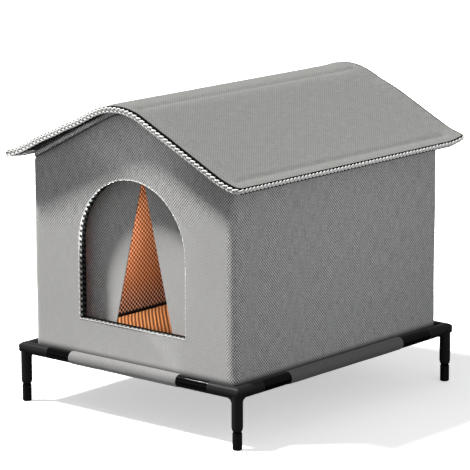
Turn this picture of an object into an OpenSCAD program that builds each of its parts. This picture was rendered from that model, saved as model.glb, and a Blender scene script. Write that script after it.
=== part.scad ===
// Cat house: a padded cabin with a lift-up gable roof and two door flaps, on a raised stand of tubes.
// X runs to the right seen from the door, the door faces -Y, and the feet stand on z = 0.

/* [Cabin] */
// Width of the cabin, outside
cabin_w = 411; // [385:1:445]
// Depth of the cabin, outside
cabin_d = 498; // [470:1:540]
// Height of the side walls above the deck, up to the underside of the roof
side_wall_h = 310.5; // [300:0.5:345]
// Rounding of the upright corners, outside
cabin_corner_r = 10; // [8:0.5:20]
// Thickness of the woven cover on the walls
cover_t = 1.5; // [1:0.1:2]
// Thickness of the stiff boards in the walls
board_t = 10; // [8:0.5:12]
// Thickness of the mesh lining on the walls
lining_t = 1.5; // [1:0.1:2]
// Thickness of the board under the floor
base_board_t = 8.5; // [6:0.5:10]
// Thickness of the floor mat
mat_t = 10; // [8:0.5:16]
// Height of the hem that runs round the top of the walls
hem_h = 6; // [4:0.5:9]
// How far that hem stands proud of the wall
hem_t = 1; // [0.6:0.1:1.2]
// Thickness of each hook-and-loop tape
tape_t = 1; // [0.8:0.1:1.5]
// Radius of the sewn piping that the roof turns on
hinge_piping_r = 1.5; // [1.2:0.1:2.5]

/* [Roof] */
// Pitch of the two slopes, in degrees
roof_pitch = 27; // [22:1:32]
// Thickness of the padded roof
roof_t = 9; // [7.5:0.5:12]
// Thickness of the cloth on each side of the roof boards
roof_cloth_t = 1.2; // [0.8:0.1:1.5]
// How far the eaves reach past the side walls
eave_reach = 38; // [34:1:55]
// How far the roof reaches past the front and rear walls
gable_reach = 35.5; // [25:0.5:50]
// Radius of the roof's top over the ridge
ridge_r = 115; // [80:5:160]
// Radius of the upward sweep of the eaves, on top
eave_sweep_r = 150; // [130:5:220]
// Width of each eave that sweeps up
eave_sweep_w = 48; // [30:1:55]
// Width of the bare fold between the two roof boards
ridge_fold_w = 8; // [4:1:16]
// Thickness of the binding on the roof's edge face
binding_t = 3; // [2:0.5:5]
// How far the binding laps over the top and the underside
binding_lap = 4; // [3:0.5:8]
// Thickness of the binding where it laps
binding_lap_t = 0.8; // [0.5:0.1:1.2]

/* [Door] */
// Clear width of the doorway
door_w = 219; // [195:1:235]
// Height of the door sill above the deck
door_sill_h = 61.5; // [45:0.5:65]
// Height of the straight jambs
door_jamb_h = 121.5; // [105:0.5:123]
// Thickness of the tape that lines the doorway
door_tape_t = 1.2; // [0.8:0.1:2]
// Radius of the piping round the doorway
door_piping_r = 1.8; // [1.2:0.1:2.5]
// Distance from the front face to the middle of the flaps
flap_set_back = 26.5; // [24:0.5:36]
// Thickness of a flap
flap_t = 2; // [1.5:0.1:3]
// Radius of the rolled top hem that a flap turns on
flap_hem_r = 2; // [1.8:0.1:3]
// How far a flap reaches past the doorway on its outer side
flap_side_lap = 18.5; // [15:0.5:30]
// Half of the gap between the flaps at their lower hems
flap_spread = 69; // [40:0.5:80]
// How the inner edge of a flap bows, where 1 is a straight line
flap_bow = 1.025; // [1:0.025:1.4]
// Height of the flap hems above the floor mat
flap_hem_gap = 4; // [3:0.5:10]
// Height of the header that the flaps hang from
header_h = 12; // [8:0.5:14]
// Height of the flaps' axis above the top of the doorway
flap_axis_rise = 3.5; // [3:0.5:6]

/* [Stand] */
// Height of the rail axes above the ground
rail_z = 87; // [70:1:120]
// Radius of the rails
rail_r = 9.5; // [8:0.5:11]
// Wall of the rail tubes
rail_wall = 1; // [0.8:0.1:1.5]
// Distance from a side wall to the axis of the rail beside it
side_rail_gap = 13; // [12:0.5:24]
// Distance from the front or rear wall to the axis of its rail
end_rail_gap = 11; // [11:0.5:24]
// Length of a corner fitting's arms from the crossing of the rail axes
fitting_arm_l = 53; // [45:1:60]
// Length of the spigots inside the rails
spigot_l = 25; // [15:1:35]
// Rounding of a fitting's outer corner seen from above
fitting_corner_r = 4; // [2:0.5:6]
// Radius of the fillet between a fitting's arms and its leg socket
fitting_fillet_r = 5; // [3:0.5:8]
// Radius of the leg socket, outside
socket_r = 8.7; // [8.2:0.1:9.4]
// Height of the socket's lower end above the ground
socket_end_z = 30; // [20:1:40]
// Length of the socket's tapered end
socket_taper_l = 5; // [4:1:12]
// Radius of the legs
leg_r = 6.5; // [5.5:0.1:6.9]
// Wall of the leg tubes
leg_wall = 1.2; // [0.8:0.1:1.5]
// Height of the legs' upper ends above the ground
leg_top_z = 66; // [50:1:66]
// Height of a foot cap
foot_cap_h = 26; // [10:1:28]
// Thickness of a foot cap's side
foot_cap_t = 0.8; // [0.6:0.1:1.4]
// Thickness of a foot cap's floor
foot_floor_t = 3; // [2:0.5:5]
// Rounding of a foot cap's lower edge
foot_edge_r = 2.5; // [1:0.5:4]
// Thickness of the deck cloth
deck_t = 1; // [0.8:0.1:2]
// Thickness of the cloth sleeves round the rails
sleeve_t = 0.7; // [0.5:0.1:0.9]
// Length of the front and rear sleeves
end_sleeve_l = 222; // [180:1:240]
// How far the front and rear sleeves sit to the right of the middle
end_sleeve_shift = -7; // [-20:1:20]
// Length of the left and right sleeves
side_sleeve_l = 279; // [230:1:300]
// How far the left and right sleeves sit behind the middle
side_sleeve_shift = -4; // [-20:1:20]

/* [Clearances] */
// Gap between pieces that move past each other
running_gap = 0.3; // [0.2:0.05:0.4]
// Gap round tubes, spigots and sleeves that are pushed together
push_gap = 0.1; // [0.05:0.05:0.15]

/* [Hidden] */
$fn = 64;
eps = 0.01;
arc_steps = 8;
flap_edge_steps = 8;
mat_edge_steps = 14;
mat_fullness = 20;

CLOTH = "#a9a8a6";
CLOTH_DARK = "#8b8b8a";
MESH_ORANGE = "#a8643f";
BINDING_PALE = "#e1e1e0";
TUBE_BLACK = "#101010";
FITTING_GREY = "#2a2a2a";
CAP_BLACK = "#141414";
BOARD_GREY = "#c9c4b8";
TAPE_GREY = "#5c5c5e";

half_w = cabin_w / 2;
half_d = cabin_d / 2;
wall_t = cover_t + board_t + lining_t;
deck_top = rail_z + deck_t;
wall_bottom = deck_top + cover_t;
base_board_top = wall_bottom + base_board_t;
floor_z = base_board_top + mat_t;
eave_z = deck_top + side_wall_h;
rail_half_x = half_w + side_rail_gap;
rail_half_y = half_d + end_rail_gap;

roof_half_w = half_w + eave_reach;
roof_half_d = half_d + gable_reach;
apex_z = eave_z + half_w * tan(roof_pitch) + roof_t / cos(roof_pitch);
ridge_centre_z = apex_z - ridge_r / cos(roof_pitch);
sweep_x = roof_half_w - eave_sweep_w;
sweep_centre = [sweep_x + eave_sweep_r * sin(roof_pitch),
                apex_z - sweep_x * tan(roof_pitch) + eave_sweep_r * cos(roof_pitch)];
roof_top = ridge_centre_z + ridge_r;
seat_drop = roof_t + running_gap;
tape_drop = seat_drop + 2 * tape_t;
hinge_x = -(half_w + hinge_piping_r);
hinge_drop_r = eave_sweep_r + seat_drop + hinge_piping_r;
hinge_z = sweep_centre[1] - sqrt(pow(hinge_drop_r, 2) - pow(sweep_centre[0] + hinge_x, 2));

sill_z = deck_top + door_sill_h;
spring_z = sill_z + door_jamb_h;
door_top = spring_z + door_w / 2;
flap_y = -half_d + flap_set_back;
flap_axis_z = door_top + flap_axis_rise;
flap_bottom_z = floor_z + flap_hem_gap;
flap_half_w = door_w / 2 + flap_side_lap;
flap_drop = flap_axis_z - flap_bottom_z;
header_z = flap_axis_z + flap_hem_r + running_gap;

// The roof's cross-section, to the right of the ridge, at a depth of drop below its top surface.
function roof_half_line(drop) =
    let (r_ridge = ridge_r - drop, r_sweep = eave_sweep_r + drop,
         end_angle = asin((sweep_centre[0] - roof_half_w) / r_sweep))
    concat(
        [for (i = [0 : arc_steps]) let (a = roof_pitch * i / arc_steps)
            [r_ridge * sin(a), ridge_centre_z + r_ridge * cos(a)]],
        [for (i = [0 : arc_steps]) let (a = roof_pitch + (end_angle - roof_pitch) * i / arc_steps)
            [sweep_centre[0] - r_sweep * sin(a), sweep_centre[1] - r_sweep * cos(a)]]);

function backwards(points) = [for (i = [len(points) - 1 : -1 : 0]) points[i]];

// The whole line from the left eave to the right one. The ridge point is kept once.
function roof_line(drop) =
    let (right = roof_half_line(drop))
    concat([for (i = [len(right) - 1 : -1 : 1]) [-right[i][0], right[i][1]]], right);

// Half of the gap between the flaps, at a depth below their axis
function flap_gap(depth) = running_gap / 2 + flap_spread * pow(depth / flap_drop, flap_bow);

// Half a cross-section of the mat: flat below, full above, with its sides drawn in
function mat_line(half) =
    [for (i = [-mat_edge_steps : mat_edge_steps])
        let (t = sin(90 * i / mat_edge_steps))
        [half * t, mat_t * sqrt(max(0, 1 - pow(abs(t), mat_fullness)))]];

// A band of the roof's section between two depths
module roof_band(upper, lower) {
    polygon(concat(roof_line(upper), backwards(roof_line(lower))));
}

// Everything under the roof's section, down to a height
module under_roof(drop, bottom) {
    polygon(concat(roof_line(drop), [[roof_half_w, bottom], [-roof_half_w, bottom]]));
}

module along_y(length) {
    rotate([90, 0, 0]) linear_extrude(height = length, center = true) children();
}

module rounded_rect(w, d, r) {
    square([w - 2 * r, d], center = true);
    square([w, d - 2 * r], center = true);
    for (sx = [-1, 1], sy = [-1, 1])
        translate([sx * (w / 2 - r), sy * (d / 2 - r)]) circle(r = r);
}

// The cabin's outline seen from above, drawn in from the outside by inset
module cabin_plan(inset) {
    rounded_rect(cabin_w - 2 * inset, cabin_d - 2 * inset, max(0.5, cabin_corner_r - inset));
}

// The share of the plan that belongs to one wall, with mitred corners
module wall_share(side) {
    reach = half_w + eave_reach / 2;
    back = half_d + eave_reach / 2;
    inner = half_d - half_w;
    if (side == "front") polygon([[-reach, -back], [reach, -back], [0, -inner]]);
    if (side == "rear") polygon([[-reach, back], [0, inner], [reach, back]]);
    if (side == "left") polygon([[-reach, -back], [0, -inner], [0, inner], [-reach, back]]);
    if (side == "right") polygon([[reach, -back], [reach, back], [0, inner], [0, -inner]]);
}

// One layer of one wall, cut to the section given as its child
module wall_layer(side, inset, t) {
    intersection() {
        linear_extrude(height = roof_top)
            intersection() {
                difference() {
                    cabin_plan(inset);
                    cabin_plan(inset + t);
                }
                wall_share(side);
            }
        along_y(2 * roof_half_d) children();
    }
}

// The doorway's outline, grown outwards by grow
module door_outline(grow) {
    r = door_w / 2 + grow;
    translate([-r, sill_z - grow]) square([2 * r, door_jamb_h + grow]);
    translate([0, spring_z]) circle(r = r);
}

module doorway() {
    translate([0, -half_d, 0]) along_y(4 * wall_t) door_outline(door_tape_t);
}

module cover(side) {
    color(CLOTH)
        difference() {
            wall_layer(side, 0, cover_t) under_roof(seat_drop, wall_bottom);
            if (side == "front") doorway();
        }
}

module board(side, drop) {
    color(BOARD_GREY)
        difference() {
            wall_layer(side, cover_t, board_t) under_roof(drop, wall_bottom);
            if (side == "front") doorway();
        }
}

module lining(side) {
    color(MESH_ORANGE)
        difference() {
            wall_layer(side, cover_t + board_t, lining_t) under_roof(seat_drop, wall_bottom);
            if (side == "front") doorway();
        }
}

module hem(side) {
    color(CLOTH_DARK) wall_layer(side, -hem_t, hem_t) roof_band(seat_drop, seat_drop + hem_h);
}

// A strip of tape over the middle of a wall's board, clear of the corners
module tape(side, drop) {
    across = board_t - 2 * tape_t;
    middle = cover_t + board_t / 2;
    color(TAPE_GREY)
        intersection() {
            linear_extrude(height = roof_top)
                if (side == "right")
                    translate([half_w - middle, 0])
                        square([across, cabin_d - 2 * wall_t - 4 * tape_t], center = true);
                else
                    translate([0, (side == "front" ? -1 : 1) * (half_d - middle)])
                        square([cabin_w - 2 * wall_t - 4 * tape_t, across], center = true);
            along_y(2 * roof_half_d) roof_band(drop, drop + tape_t);
        }
}

module base_cover() {
    color(CLOTH_DARK) translate([0, 0, deck_top]) linear_extrude(height = cover_t) cabin_plan(0);
}

module base_board() {
    color(BOARD_GREY)
        translate([0, 0, wall_bottom])
            linear_extrude(height = base_board_t) cabin_plan(wall_t + running_gap);
}

module floor_mat() {
    mat_half_w = half_w - wall_t - 2 * running_gap;
    mat_half_d = half_d - wall_t - 2 * running_gap;
    color(MESH_ORANGE)
        translate([0, 0, base_board_top])
            intersection() {
                along_y(2 * mat_half_d) polygon(mat_line(mat_half_w));
                rotate([0, 0, 90]) along_y(2 * mat_half_w) polygon(mat_line(mat_half_d));
            }
}

module door_binding() {
    bead_r = door_w / 2 + door_tape_t / 2;
    bead_sill = sill_z - door_tape_t / 2;
    bead_y = -half_d - door_piping_r;
    color(BINDING_PALE) {
        translate([0, -half_d + (wall_t - door_piping_r) / 2, 0])
            along_y(wall_t + door_piping_r)
                difference() {
                    door_outline(door_tape_t);
                    door_outline(0);
                }
        translate([0, bead_y, spring_z])
            rotate([90, 0, 0])
                rotate_extrude(angle = 180) translate([bead_r, 0]) circle(r = door_piping_r);
        for (sx = [-1, 1])
            translate([sx * bead_r, bead_y, bead_sill]) {
                cylinder(r = door_piping_r, h = spring_z - bead_sill);
                sphere(r = door_piping_r);
            }
        translate([-bead_r, bead_y, bead_sill])
            rotate([0, 90, 0]) cylinder(r = door_piping_r, h = 2 * bead_r);
    }
}

module flap_header() {
    inner_face = -half_d + wall_t;
    depth = flap_y + flap_hem_r + flap_t - inner_face;
    color(CLOTH_DARK)
        translate([-flap_half_w, inner_face, header_z]) cube([2 * flap_half_w, depth, header_h]);
}

// A flap hangs from its rolled hem. The side is -1 on the left and 1 on the right.
module flap(side) {
    inner_edge = [for (i = [0 : flap_edge_steps]) let (depth = flap_drop * i / flap_edge_steps)
        [side * flap_gap(depth), flap_axis_z - depth]];
    color(CLOTH) {
        translate([0, flap_y, 0])
            along_y(flap_t)
                polygon(concat(inner_edge,
                    [[side * flap_half_w, flap_bottom_z], [side * flap_half_w, flap_axis_z]]));
        translate([side * (flap_half_w + flap_gap(0)) / 2, flap_y, flap_axis_z])
            rotate([0, 90, 0])
                cylinder(r = flap_hem_r, h = flap_half_w - flap_gap(0), center = true);
    }
}

module roof_hinge_piping() {
    color(CLOTH_DARK)
        translate([hinge_x, 0, hinge_z])
            rotate([90, 0, 0])
                cylinder(r = hinge_piping_r, h = cabin_d - 2 * cabin_corner_r, center = true);
}

// A layer of the roof that stops inside the binding
module roof_layer(upper, lower) {
    along_y(2 * (roof_half_d - binding_t))
        intersection() {
            roof_band(upper, lower);
            translate([0, roof_top / 2])
                square([2 * (roof_half_w - binding_t), 2 * roof_top], center = true);
        }
}

module roof_cover() {
    color(CLOTH) roof_layer(0, roof_cloth_t);
}

module roof_lining() {
    color(CLOTH_DARK) roof_layer(roof_t - roof_cloth_t, roof_t);
}

// The side is -1 on the left and 1 on the right.
module roof_board(side) {
    color(BOARD_GREY)
        intersection() {
            roof_layer(roof_cloth_t, roof_t - roof_cloth_t);
            translate([side * (roof_half_w + ridge_fold_w / 2), 0, roof_top / 2])
                cube([2 * roof_half_w, 2 * roof_half_d, 2 * roof_top], center = true);
        }
}

module roof_binding() {
    color(BINDING_PALE)
        difference() {
            along_y(2 * roof_half_d) roof_band(-binding_lap_t, roof_t + binding_lap_t);
            roof_layer(0, roof_t);
            translate([0, 0, roof_top / 2])
                cube([2 * (roof_half_w - binding_t - binding_lap),
                      2 * (roof_half_d - binding_t - binding_lap), 2 * roof_top], center = true);
        }
}

module tube(r, wall, length) {
    difference() {
        cylinder(r = r, h = length, center = true);
        cylinder(r = r - wall, h = length + 2 * eps, center = true);
    }
}

// Rails between the fittings. The side is -1 at the front or left and 1 at the rear or right.
module end_rail(side) {
    color(TUBE_BLACK)
        translate([0, side * rail_half_y, rail_z])
            rotate([0, 90, 0]) tube(rail_r, rail_wall, 2 * (rail_half_x - fitting_arm_l));
}

module side_rail(side) {
    color(TUBE_BLACK)
        translate([side * rail_half_x, 0, rail_z])
            rotate([90, 0, 0]) tube(rail_r, rail_wall, 2 * (rail_half_y - fitting_arm_l));
}

module end_sleeve(side) {
    color(CLOTH)
        translate([end_sleeve_shift, side * rail_half_y, rail_z])
            rotate([0, 90, 0]) tube(rail_r + push_gap + sleeve_t, sleeve_t, end_sleeve_l);
}

module side_sleeve(side) {
    color(CLOTH)
        translate([side * rail_half_x, side_sleeve_shift, rail_z])
            rotate([90, 0, 0]) tube(rail_r + push_gap + sleeve_t, sleeve_t, side_sleeve_l);
}

module deck_cloth() {
    edge = rail_r + push_gap + sleeve_t;
    color(CLOTH_DARK)
        translate([0, 0, rail_z + deck_t / 2])
            cube([2 * (rail_half_x - edge), 2 * (rail_half_y - edge), deck_t], center = true);
}

// Places a piece drawn for the front left corner at any corner.
module at_corner(sx, sy) {
    translate([sx * rail_half_x, sy * rail_half_y, 0])
        mirror([sx > 0 ? 1 : 0, 0, 0]) mirror([0, sy > 0 ? 1 : 0, 0]) children();
}

// The web that fills the angle between an arm along +X and the socket
module fitting_web() {
    top = rail_z - rail_r;
    rotate([90, 0, 0])
        linear_extrude(height = socket_r, center = true)
            difference() {
                translate([0, top - fitting_fillet_r])
                    square([socket_r + fitting_fillet_r, fitting_fillet_r + rail_r]);
                translate([socket_r + fitting_fillet_r, top - fitting_fillet_r])
                    circle(r = fitting_fillet_r);
            }
}

module fitting(sx, sy) {
    spigot_r = rail_r - rail_wall - push_gap;
    bore_r = leg_r + push_gap;
    color(FITTING_GREY)
        at_corner(sx, sy)
            difference() {
                union() {
                    translate([0, 0, rail_z]) {
                        rotate([0, 90, 0]) cylinder(r = rail_r, h = fitting_arm_l);
                        rotate([-90, 0, 0]) cylinder(r = rail_r, h = fitting_arm_l);
                        rotate([0, 90, 0]) cylinder(r = spigot_r, h = fitting_arm_l + spigot_l);
                        rotate([-90, 0, 0]) cylinder(r = spigot_r, h = fitting_arm_l + spigot_l);
                        intersection() {
                            rotate([0, 90, 0]) cylinder(r = rail_r, h = 3 * rail_r, center = true);
                            rotate([90, 0, 0]) cylinder(r = rail_r, h = 3 * rail_r, center = true);
                            linear_extrude(height = 3 * rail_r, center = true)
                                rounded_rect(2 * rail_r, 2 * rail_r, fitting_corner_r);
                        }
                    }
                    fitting_web();
                    mirror([1, -1, 0]) fitting_web();
                    translate([0, 0, socket_end_z + socket_taper_l])
                        cylinder(r = socket_r, h = rail_z - socket_end_z - socket_taper_l);
                    translate([0, 0, socket_end_z])
                        cylinder(r1 = (socket_r + bore_r) / 2, r2 = socket_r, h = socket_taper_l);
                }
                translate([0, 0, socket_end_z - eps])
                    cylinder(r = bore_r, h = leg_top_z - socket_end_z + eps);
            }
}

module leg(sx, sy) {
    length = leg_top_z - foot_floor_t;
    color(TUBE_BLACK)
        at_corner(sx, sy) translate([0, 0, foot_floor_t + length / 2]) tube(leg_r, leg_wall, length);
}

module foot_cap(sx, sy) {
    bore_r = leg_r + push_gap;
    outer_r = bore_r + foot_cap_t;
    color(CAP_BLACK)
        at_corner(sx, sy)
            rotate_extrude() {
                translate([bore_r, foot_edge_r]) square([foot_cap_t, foot_cap_h - foot_edge_r]);
                translate([0, foot_edge_r])
                    square([outer_r, max(eps, foot_floor_t - foot_edge_r)]);
                square([outer_r - foot_edge_r, foot_floor_t]);
                translate([outer_r - foot_edge_r, foot_edge_r])
                    intersection() {
                        circle(r = foot_edge_r);
                        translate([0, -foot_edge_r]) square([foot_edge_r, foot_edge_r]);
                    }
            }
}

end_rail(-1);  // front_rail
end_rail(1);  // rear_rail
side_rail(-1);  // left_rail
side_rail(1);  // right_rail
fitting(-1, -1);  // front_left_fitting
fitting(1, -1);  // front_right_fitting
fitting(-1, 1);  // rear_left_fitting
fitting(1, 1);  // rear_right_fitting
leg(-1, -1);  // front_left_leg
leg(1, -1);  // front_right_leg
leg(-1, 1);  // rear_left_leg
leg(1, 1);  // rear_right_leg
foot_cap(-1, -1);  // front_left_foot_cap
foot_cap(1, -1);  // front_right_foot_cap
foot_cap(-1, 1);  // rear_left_foot_cap
foot_cap(1, 1);  // rear_right_foot_cap
deck_cloth();
end_sleeve(-1);  // front_sleeve
end_sleeve(1);  // rear_sleeve
side_sleeve(-1);  // left_sleeve
side_sleeve(1);  // right_sleeve
base_cover();
base_board();
floor_mat();
cover("front");  // front_cover
cover("rear");  // rear_cover
cover("left");  // left_cover
cover("right");  // right_cover
board("front", tape_drop);  // front_board
board("rear", tape_drop);  // rear_board
board("left", seat_drop);  // left_board
board("right", tape_drop);  // right_board
lining("front");  // front_lining
lining("rear");  // rear_lining
lining("left");  // left_lining
lining("right");  // right_lining
hem("front");  // front_hem
hem("rear");  // rear_hem
hem("right");  // right_hem
tape("front", seat_drop + tape_t);  // front_hook_tape
tape("rear", seat_drop + tape_t);  // rear_hook_tape
tape("right", seat_drop + tape_t);  // right_hook_tape
tape("front", roof_t);  // front_loop_tape
tape("rear", roof_t);  // rear_loop_tape
tape("right", roof_t);  // right_loop_tape
roof_hinge_piping();
roof_cover();
roof_board(-1);  // roof_left_board
roof_board(1);  // roof_right_board
roof_lining();
roof_binding();
door_binding();
flap_header();
flap(-1);  // left_flap
flap(1);  // right_flap
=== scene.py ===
# %% [markdown]
# # A padded cat house on a raised stand
# The CAD frame already holds the tubes, boards and hinges at their real size, so this lesson adds what cloth,
# cord and paint look like. Everything is in metres, in the frame's own place.

# %% Loading the frame
from math import asin, copysign, cos, exp, hypot, pi, radians, sin, sqrt, tan

import bmesh
import bpy
from mathutils import Matrix, Quaternion, Vector, noise


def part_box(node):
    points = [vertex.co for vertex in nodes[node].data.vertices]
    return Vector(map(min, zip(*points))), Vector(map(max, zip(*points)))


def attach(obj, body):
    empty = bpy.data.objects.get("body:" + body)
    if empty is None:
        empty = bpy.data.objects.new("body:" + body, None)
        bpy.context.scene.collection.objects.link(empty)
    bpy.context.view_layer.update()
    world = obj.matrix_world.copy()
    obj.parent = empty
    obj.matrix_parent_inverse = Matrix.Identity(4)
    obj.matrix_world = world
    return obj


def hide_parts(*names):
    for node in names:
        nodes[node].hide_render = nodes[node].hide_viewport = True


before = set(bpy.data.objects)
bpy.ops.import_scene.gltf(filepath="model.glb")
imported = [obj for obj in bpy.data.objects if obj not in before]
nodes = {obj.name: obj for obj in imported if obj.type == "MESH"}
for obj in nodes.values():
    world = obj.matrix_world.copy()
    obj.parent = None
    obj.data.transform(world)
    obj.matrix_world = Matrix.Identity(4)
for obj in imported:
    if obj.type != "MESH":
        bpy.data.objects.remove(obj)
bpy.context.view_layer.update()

MM = 0.001

# %% [markdown]
# ## The camera
# The house was photographed from its right, a little above the eaves. A long lens keeps upright edges almost
# parallel. The camera is turned by three angles: round the house, down towards it, and a slight roll.

# %% Camera
CAMERA_AZIMUTH, CAMERA_ELEVATION, CAMERA_ROLL = 40.43, 11.93, -0.2
CAMERA_PLACE = (2.819, -3.316, 1.1745)
CAMERA_LENS = 214.7

camera_data = bpy.data.cameras.new("camera")
camera_data.lens = CAMERA_LENS
camera_data.sensor_width = 36
camera = bpy.data.objects.new("camera", camera_data)
bpy.context.collection.objects.link(camera)
camera.matrix_world = (
    Matrix.Translation(CAMERA_PLACE)
    @ Matrix.Rotation(radians(CAMERA_AZIMUTH), 4, "Z")
    @ Matrix.Rotation(radians(90 - CAMERA_ELEVATION), 4, "X")
    @ Matrix.Rotation(radians(CAMERA_ROLL), 4, "Z")
)
bpy.context.scene.camera = camera
bpy.context.scene.view_settings.view_transform = "Standard"

# %% [markdown]
# ## Small tools
# A colour is written in hex, as an editor shows it, and turned to the linear numbers that shaders use. One
# function adds a node and links it. The steps that come back most have names, so a material reads as a list.

# %% Colour and node helpers
def colour(hex_value):
    """An sRGB hex colour as linear red, green, blue and alpha."""
    channels = [int(hex_value[i:i + 2], 16) / 255 for i in (1, 3, 5)]
    return [c / 12.92 if c <= 0.04045 else ((c + 0.055) / 1.055) ** 2.4 for c in channels] + [1.0]


def new_material(name, **surface):
    """A material, its node tree and its shader, whose sockets get plain values."""
    material = bpy.data.materials.new(name)
    material.use_nodes = True
    shader = material.node_tree.nodes["Principled BSDF"]
    for socket, value in surface.items():
        shader.inputs[socket.replace("_", " ")].default_value = value
    return material, material.node_tree, shader


def add_node(tree, kind, inputs=None, **settings):
    """Adds a node with its settings. An input is a value, or the output that it is linked to."""
    node = tree.nodes.new("ShaderNode" + kind)
    for name, value in settings.items():
        setattr(node, name, value)
    for name, value in (inputs or {}).items():
        if isinstance(value, bpy.types.NodeSocket):
            tree.links.new(value, node.inputs[name])
        else:
            node.inputs[name].default_value = value
    return node


def maths(tree, operation, *values):
    return add_node(tree, "Math", dict(enumerate(values)), operation=operation).outputs[0]


def remap(tree, value, source, target=(0, 1), shape="LINEAR"):
    """Takes a value from one range to another, and holds it within the second."""
    ranges = dict(zip(("Value", "From Min", "From Max", "To Min", "To Max"), (value, *source, *target)))
    return add_node(tree, "MapRange", ranges, interpolation_type=shape).outputs["Result"]


def between(tree, share, start, end):
    """A number between two, and past them where the share isn't within 0 and 1."""
    ends = {0: share, 2: start, 3: end}
    return add_node(tree, "Mix", ends, data_type="FLOAT", clamp_factor=False).outputs[0]


def tinted(tree, share, start, end):
    """A colour between two, each given as a hex value or an output."""
    start, end = [colour(tint) if isinstance(tint, str) else tint for tint in (start, end)]
    return add_node(tree, "Mix", {0: share, 6: start, 7: end}, data_type="RGBA").outputs[2]


def raise_surface(tree, shader, height, strength, depth, tint=None):
    """Bumps a surface by a height, and links its tint where it has more than one colour."""
    if tint:
        tree.links.new(tint, shader.inputs["Base Color"])
    bump = add_node(tree, "Bump", {"Height": height, "Strength": strength, "Distance": depth})
    tree.links.new(bump.outputs[0], shader.inputs["Normal"])


# %% [markdown]
# Meshes start as a grid. A function moves each grid point to its place on the cloth, and says where it lies
# on the flat cloth, in metres. That flat place becomes the UV map, so a weave keeps its size round a corner.

# %% Mesh helpers
def keep(mesh_builder, name, outward=False):
    """Turns a bmesh into a smooth object at the origin, with its faces turned out where that is asked."""
    if outward:
        bmesh.ops.recalc_face_normals(mesh_builder, faces=mesh_builder.faces)
    mesh = bpy.data.meshes.new(name)
    mesh_builder.to_mesh(mesh)
    mesh_builder.free()
    for polygon in mesh.polygons:
        polygon.use_smooth = True
    piece = bpy.data.objects.new(name, mesh)
    bpy.context.collection.objects.link(piece)
    return piece


def cloth_grid(steps_u, steps_v, place, weld=False):
    """A grid whose point (i, j) goes to place(i, j), which gives a point and its flat place on the cloth."""
    sheet = bmesh.new()
    bmesh.ops.create_grid(sheet, x_segments=steps_u, y_segments=steps_v, size=1)
    flat = {}
    for vertex in sheet.verts:
        i = round((vertex.co.x + 1) / 2 * steps_u)
        j = round((vertex.co.y + 1) / 2 * steps_v)
        vertex.co, flat[vertex] = place(i, j)
    uv_layer = sheet.loops.layers.uv.new("cloth")
    for face in sheet.faces:
        for loop in face.loops:
            loop[uv_layer].uv = flat[loop.vert]
    if weld:
        bmesh.ops.remove_doubles(sheet, verts=sheet.verts, dist=1e-5)
    return sheet


def thicken(piece, thickness, offset=-1):
    """Gives a sheet its real thickness. An offset of -1 grows it to the inside."""
    solidify = piece.modifiers.new("thickness", "SOLIDIFY")
    solidify.thickness = thickness
    solidify.offset = offset
    piece.modifiers.new("crisp_rim", "EDGE_SPLIT").split_angle = radians(55)


def finish_piece(piece, material, slot_name, *replaced, body="stand_and_cabin"):
    """Gives a piece its finish, its body and the CAD nodes that it stands for."""
    piece.data.materials.append(material)
    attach(piece, body)
    if replaced:
        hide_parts(*replaced)


def pin(piece, weight_of):
    """Holds points in place: weight_of gives 1 for a held point and 0 for a free one."""
    held = piece.vertex_groups.new(name="held")
    for vertex in piece.data.vertices:
        held.add([vertex.index], weight_of(vertex.co), "REPLACE")


def settle(piece, frames, gravity, cap, mass, stiffness, **settings):
    """Runs Blender's Cloth, moves the points to where it rests, by cap at most, and removes the Cloth."""
    scene = bpy.context.scene
    scene.gravity = gravity
    cloth = piece.modifiers.new("cloth", "CLOTH")
    cloth.point_cache.frame_start, cloth.point_cache.frame_end = 1, frames
    cloth.settings.vertex_group_mass = "held"
    cloth.collision_settings.use_collision = False
    settings.update(mass=mass, tension_stiffness=stiffness, compression_stiffness=stiffness)
    for name, value in settings.items():
        setattr(cloth.settings, name, value)
    for frame_number in range(1, frames + 1):
        scene.frame_set(frame_number)
    rested = piece.evaluated_get(bpy.context.evaluated_depsgraph_get()).to_mesh()
    moves = [rested.vertices[v.index].co - v.co for v in piece.data.vertices]
    piece.modifiers.remove(cloth)
    for vertex, move in zip(piece.data.vertices, moves):
        vertex.co += move * min(1, cap / max(move.length, 1e-9))
    scene.frame_set(1)
    print(piece.name, "settled, largest move", round(max(m.length for m in moves) / MM, 2), "mm")


def dress(material, *names):
    """Gives CAD nodes a better material."""
    for name in names:
        nodes[name].data.materials.clear()
        nodes[name].data.materials.append(material)


# %% [markdown]
# ## Woven cloth
# The cover is solution-dyed polyester in a coarse basket weave: small squares of threads that run up, beside
# squares of threads that run across. The eye sees a fine diamond grain. The product of two cosines gives such
# a chequer, with cells of 2.4 mm by 2.6 mm, and finer ribs in each cell stand for the threads. The front and
# rear sleeves get a lit copy of the sleeve cloth and the two at the sides a shaded one: painted light and
# painted shade.

# %% Woven cloth materials
WEAVE_PERIOD = (4.8 * MM, 5.2 * MM)
THREAD_PERIOD = 0.8 * MM
SLUB_W = 1.3 * MM
# The grain's contrast is painted light and shade: calm where the key lamp lights the cloth, strong in its
# shade, and stronger at the near corner, where the light grazes.
LIT_GRAIN_SHARE = 0.2
SHADED_GRAIN_SHARE = 0.8
GRAZED_CORNER_GRAIN_SHARE = 0.7
UP = (0, 0, 1)


def wave(tree, value, period):
    """A cosine of a coordinate with that period."""
    return maths(tree, "COSINE", maths(tree, "MULTIPLY", value, 2 * pi / period))


def chequer(tree, across, up, period):
    return maths(tree, "MULTIPLY", wave(tree, across, period[0]), wave(tree, up, period[1]))


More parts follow.
